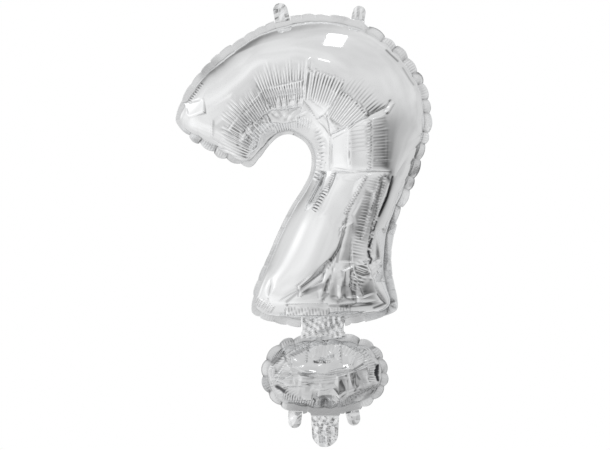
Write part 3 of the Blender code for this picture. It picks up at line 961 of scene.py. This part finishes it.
def margin_ribbon(name, seam, seats, material, curl):
    rows = int(seam.length / (0.0012))
    columns = 10
    way = np.arange(rows) * seam.length / rows
    place, outward, weight, lobe, share = seam.at(way)
    notch = seam.notch(way)
    width = PLAIN_MARGIN + (SCALLOPED_MARGIN * seam.crown[lobe] - PLAIN_MARGIN) * weight
    width = np.minimum(width, SCALLOPED_MARGIN) - SCALLOP_DEPTH * notch
    inner = place - outward * (0.003 * notch + 0.001)[:, None]
    edge = place + outward * width[:, None]
    calm = np.ones(rows)
    for root, direction, half_width in seats:
        side = np.array((direction[1], -direction[0]))
        offset = edge - root
        near = (np.abs(offset @ side) < half_width + 0.0015) & (np.abs(offset @ direction) < 0.031)
        edge[near] = root + (offset[near] @ side)[:, None] * side
        calm *= smooth_step(half_width, half_width + 0.02, np.linalg.norm(offset, axis=-1))
    t = np.linspace(0, 1, columns + 1)[None, :, None]
    flat = inner[:, None] * (1 - t) + edge[:, None] * t
    calm = (calm * seam.strength(way))[:, None]
    out_share = t[..., 0]
    bow = (np.abs(np.sin(np.pi * share)) ** 0.6 * seam.curl[lobe])[:, None] * out_share ** 1.4
    lean = ((share - 0.5) * seam.lean[lobe])[:, None] * out_share
    hatch = (np.abs(np.sin(np.pi * way / HATCH_PITCH)) * seam.hatch[lobe])[:, None] * np.sin(np.pi * out_share)
    rise = (curl * (bow + lean) + HATCH_HEIGHT * hatch) * calm
    rise += 0.0015 * (calm * notch[:, None]) * np.sin(np.pi * out_share)
    stem = smooth_step(0.08, 0.12, place[:, 0]) * smooth_step(-0.34, -0.50, place[:, 1])
    rise -= 0.011 * (stem * smooth_step(-0.67, -0.63, place[:, 1]))[:, None] * out_share
    points = np.stack((flat[..., 0], rise, flat[..., 1]), -1)
    # Painted shade: in the notches, on lobe edges that curl to the back, beside the seam and over the stretches in
    # SEAM_SHADOWS.
    curled_edge_shade = (np.maximum(seam.curl, 0.0) * 0.7)[lobe][:, None] * smooth_step(0.8, 1.0, out_share)
    painted_shade = np.clip(calm * (notch[:, None] ** 3 * 0.55 + curled_edge_shade) + 0.35 * np.exp(-out_share / 0.12), 0.0, 1.0)
    for x, z, reach, dark in SEAM_SHADOWS:
        gap = np.linalg.norm(flat / MM - (x, z), axis=-1)
        painted_shade = np.maximum(painted_shade, dark * smooth_step(reach, 0.6 * reach, gap))
    ribbon = add_mesh(name, points.reshape(-1, 3), grid_faces(rows, columns + 1, FRONT, closed=True), material, painted_shade)
    return thicken(ribbon, MARGIN_FILM)


# Neck and flaps

def add_neck():
    """Crinkled sleeve between the hook and the dot, round both ends of the crease."""
    around, down = ((160, 80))
    turn = np.linspace(0, 2 * math.pi, around, endpoint=False)[:, None]
    fall = np.linspace(0, 1, down + 1)[None, :]
    top, bottom = -0.648, -0.700
    x = NECK_X + NECK_HALF_WIDTH * np.cos(turn) * (1 + 0.04 * np.sin(fall * 9))
    z = top + (bottom - top) * fall + 0 * x
    x = x + 0 * z
    rng = np.random.default_rng(21)
    places = np.stack((x, z), -1) / MM
    ripple = crumple_relief(places, ((NECK_X / MM, HINGE_Z / MM, 200.0, 200.0, 11, 0.18), (NECK_X / MM, HINGE_Z / MM, 200.0, 200.0, 4, 0.24)), rng) * MM
    closed = smooth_step(0.0, 0.12, fall) * smooth_step(1.0, 0.88, fall)
    swell = np.abs(np.sin(turn)) ** 0.6
    depth = 0.0005 + closed * (0.0036 + ripple) * swell
    y = np.where(np.sin(turn) < 0, -1.0, 1.0) * np.maximum(depth, 0.0004)
    points = np.stack((x, y, z), -1)
    # Shade is painted in each valley of the sleeve.
    return add_mesh("neck_sleeve", points.reshape(-1, 3), grid_faces(around, down + 1, BACK, closed=True),
                    CRINKLED_FILM, painted_valley_shade(points, 2 * VALLEY_SHADE_DEPTH))


def add_flap(row, rng):
    """A tongue of sealed film, bowed and creased, in the plain flap's place."""
    name, _, _, root_x, root_z, angle, length, width, to_right, to_bottom = row
    across_count, up_count = ((64, 80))
    s = np.linspace(-1, 1, across_count + 1)[:, None]
    t = np.linspace(0, 1, up_count + 1)[None, :]
    half, long = width * MM / 2, length * MM
    shoulder = 1 - 0.9 * half / long
    past = np.clip((t - shoulder) / (1 - shoulder), 0, 1)
    half_here = half * (1 - 0.1 * t) * np.sqrt(np.maximum(1 - past ** 2, 0.0004))
    sideways = s * half_here
    upwards = long * t + 0 * s
    facet, slope = (6, 0.34) if name == "valve_tail" else (10, 0.2)
    places = np.stack((sideways + 0 * t, upwards), -1) / MM
    rise = crumple_relief(places, ((0.0, length / 2, 2 * width, 2 * length, facet, slope),), rng) * MM
    bow = 0.0035 * (1 - (sideways / half) ** 2) * np.sin(math.pi * t * 0.8)
    depth = (rise - bow) * smooth_step(0.0, 0.12, t)
    turn = math.radians(angle)
    x = root_x * MM + sideways * math.cos(turn) + upwards * math.sin(turn)
    z = root_z * MM - sideways * math.sin(turn) + upwards * math.cos(turn)
    depth = depth + (to_right * (x - root_x * MM) - to_bottom * (z - root_z * MM)) * smooth_step(0.0, 0.25, t)
    points = np.stack((x, depth, z), -1)
    # Shade is painted in each valley of the tongue.
    flap = add_mesh(name + "_tongue", points.reshape(-1, 3), grid_faces(across_count + 1, up_count + 1, FRONT),
                    CRINKLED_FILM, painted_valley_shade(points, 2 * VALLEY_SHADE_DEPTH))
    return thicken(flap, MARGIN_FILM)


HOOK_SIZES = (((60, 12, 400), (120, 24, 600), (240, 48, 700)))
DOT_SIZES = (((16, 16, 300), (32, 32, 400), (64, 64, 400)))

hook_base = inflate(hook_seam_grid, hook_film, HOOK_SIZES)
dot_base = inflate(dot_seam_grid, dot_film, DOT_SIZES)


def film_panel(name, grid, shade, side, material):
    points = grid * np.array((1.0, -side, 1.0))
    points[..., 1] += side * SEAM_LEVEL
    # Painted shade: along the panel's rim, stronger at the upper left, in each valley and in its folds.
    rim = np.minimum(np.arange(grid.shape[0]), np.arange(grid.shape[0])[::-1])[:, None]
    rim = np.minimum(rim, np.minimum(np.arange(grid.shape[1]), np.arange(grid.shape[1])[::-1])[None, :])
    upper_left = smooth_step(-0.02, -0.06, grid[..., 0]) * smooth_step(-0.23, -0.18, grid[..., 2])
    rim_shade = (0.3 + 0.7 * upper_left) * smooth_step(4, 0, rim)
    painted_shade = np.maximum(np.maximum(painted_valley_shade(grid, VALLEY_SHADE_DEPTH), rim_shade), shade)
    return add_mesh(name, points.reshape(-1, 3), grid_faces(*grid.shape[:2], side), material, painted_shade)


for side, name, seed in ((FRONT, "front", 3), (BACK, "back", 11)):
    rng = np.random.default_rng(seed)
    hook_film_piece = film_panel(f"hook_{name}_film", *hook_panel_grid(hook_base, side, rng), side, PANEL_FILM)
    dress(hook_film_piece, "hook", [f"hook_{name}_panel"])
    dot_film_piece = film_panel(f"dot_{name}_film", *dot_panel_grid(dot_base, side, rng), side, SHADED_DOT_FILM)
    dress(dot_film_piece, "dot", [f"dot_{name}_panel"])

hook_seats = seats_of(("tab_top_left", "tab_top_right"))
dot_seats = seats_of(("tab_bottom_left", "tab_bottom_right", "valve_tail"))
hook_seats.append((np.array((NECK_X, NECK_TOP_Z)), np.array((0.0, -1.0)), NECK_HALF_WIDTH))
dot_seats.append((np.array((NECK_X, NECK_BOTTOM_Z)), np.array((0.0, 1.0)), NECK_HALF_WIDTH))
dress(margin_ribbon("hook_seam_ribbon", HOOK_SEAM, hook_seats, SEAM_FILM, 0.005), "hook", ["hook_seam_margin"])
dress(margin_ribbon("dot_seam_ribbon", DOT_SEAM, dot_seats, DULL_SHADED_SEAM_FILM, 0.006), "dot", ["dot_seam_margin"])

neck = add_neck()
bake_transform(neck)
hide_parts("neck_upper", "neck_lower")

for index, row in enumerate(FLAPS):
    dress(add_flap(row, np.random.default_rng(40 + index)), row[1], [row[0]])


# Studio: grey floor fading out from under the balloon as painted shade, uneven surroundings, softboxes above and in
# front, and the camera

def direction(azimuth, elevation):
    """Unit vector; azimuth 0 is towards the camera, 90 to the reader's right."""
    a, e = math.radians(azimuth), math.radians(elevation)
    return math.sin(a) * math.cos(e), -math.cos(a) * math.cos(e), math.sin(e)


def add_softbox(name, target, azimuth, elevation, distance, width, height, radiance):
    light = bpy.data.lights.new(name, "AREA")
    light.shape = "RECTANGLE"
    light.size = width
    light.size_y = height
    light.energy = radiance * math.pi * width * height
    obj = bpy.data.objects.new(name, light)
    bpy.context.scene.collection.objects.link(obj)
    away = Vector(direction(azimuth, elevation))
    obj.location = Vector(target) + away * distance
    across = Vector((1, 0, 0)) if elevation > 60 else Vector((0, 0, 1)).cross(away)
    up = away.cross(across).normalized()
    obj.rotation_euler = Matrix((up.cross(away), up, away)).transposed().to_euler()
    obj.visible_camera = False
    return obj


METRES_PER_PIXEL = 0.00215
PHOTO_WIDTH = 610
ORIGIN_PIXEL = (319.5, 14.0)
IMAGE_MIDDLE = (305.0, 225.0)
CAMERA_DISTANCE = 4.0
FLOOR_Z = -1.25
FLOOR_RADIUS = 1.5

# Brightness of the surroundings. Columns: azimuth, elevation, sharpness, added brightness.
SURROUNDINGS = (
    (-75, -5, 3, 0.16),
    (-30, 35, 8, 0.06),
    (-60, -40, 6, 0.15),
    (5, -28, 10, -0.12),
    (45, -22, 14, -0.46),
    (85, -35, 6, -0.22),
    (60, -5, 12, -0.10),
    (30, 0, 10, -0.06),
    (130, 10, 6, -0.04),
    (180, 0, 8, -0.12),
    (-150, 40, 12, -0.50),
    (-82, 20, 70, 0.38),
    (-126, 12, 70, 0.30),
)
UNEVENNESS = 0.35
EVEN_BRIGHTNESS = 0.74

world = bpy.data.worlds.new("studio")
bpy.context.scene.world = world
sky = Tree(world)
outlook = sky.node("ShaderNodeTexCoord")
brightness = EVEN_BRIGHTNESS + UNEVENNESS * (sky.noise(2.2, 2.0) - 0.5)
for azimuth, elevation, sharpness, added in SURROUNDINGS:
    facing = sky.node("ShaderNodeVectorMath", {"operation": "DOT_PRODUCT"},
                      {0: outlook, 1: direction(azimuth, elevation)}, out="Value")
    lobe = facing.math("MAXIMUM", facing, 0.0) ** sharpness * added
    brightness = lobe + brightness
seen_directly = sky.node("ShaderNodeLightPath")
brightness = brightness + seen_directly * (1 - brightness)
sky.put(sky.nodes["Background"].inputs["Color"], brightness)

add_softbox("overhead_softbox", (0.03, -0.09, -0.05), 61, 78, 1.6, 0.31, 0.9, 1.5)
add_softbox("front_softbox", (0.0, -0.09, -0.3), 3, 42, 3.0, 0.34, 0.08, 1.6)

turns, rings = 96, 24
ring = np.linspace(0.001, FLOOR_RADIUS, rings + 1)[None, :]
turn = np.linspace(0, 2 * math.pi, turns, endpoint=False)[:, None]
floor_points = np.stack((ring * np.cos(turn), ring * np.sin(turn), FLOOR_Z + 0 * ring * turn), -1)
# The floor's grey fades out from its middle: a pool of painted shade under the balloon, which the dot and the foot
# reflect.
floor_material = bpy.data.materials.new("studio_floor")
floor_tree = Tree(floor_material)
floor_shader = floor_tree.nodes["Principled BSDF"].inputs
out_from_middle = floor_tree.node("ShaderNodeVectorMath", {"operation": "LENGTH"},
                                  {0: floor_tree.node("ShaderNodeTexCoord", out=3)}, out="Value")
fade = floor_tree.node("ShaderNodeMapRange", {"interpolation_type": "SMOOTHSTEP"},
                       {"Value": out_from_middle, "From Min": 0.3, "From Max": 1.4})
floor_shader["Base Color"].default_value = (0.50, 0.50, 0.50, 1)
floor_tree.put(floor_shader["Alpha"], 1 - fade)
floor_shader["Roughness"].default_value = 0.9
floor_shader["Specular IOR Level"].default_value = 0.0
floor = add_mesh("studio_floor", floor_points.reshape(-1, 3), grid_faces(turns, rings + 1, FRONT, closed=True),
                 floor_material)

camera_data = bpy.data.cameras.new("camera")
camera_data.sensor_width = 36.0
camera_data.lens = 36.0 * CAMERA_DISTANCE / (PHOTO_WIDTH * METRES_PER_PIXEL)
camera = bpy.data.objects.new("camera", camera_data)
bpy.context.scene.collection.objects.link(camera)
middle_x = (IMAGE_MIDDLE[0] - ORIGIN_PIXEL[0]) * METRES_PER_PIXEL
middle_z = (ORIGIN_PIXEL[1] - IMAGE_MIDDLE[1]) * METRES_PER_PIXEL
camera.location = (middle_x, -CAMERA_DISTANCE, middle_z)
camera.rotation_euler = (math.pi / 2, 0.0, 0.0)
bpy.context.scene.camera = camera
bpy.context.scene.view_settings.view_transform = "Standard"
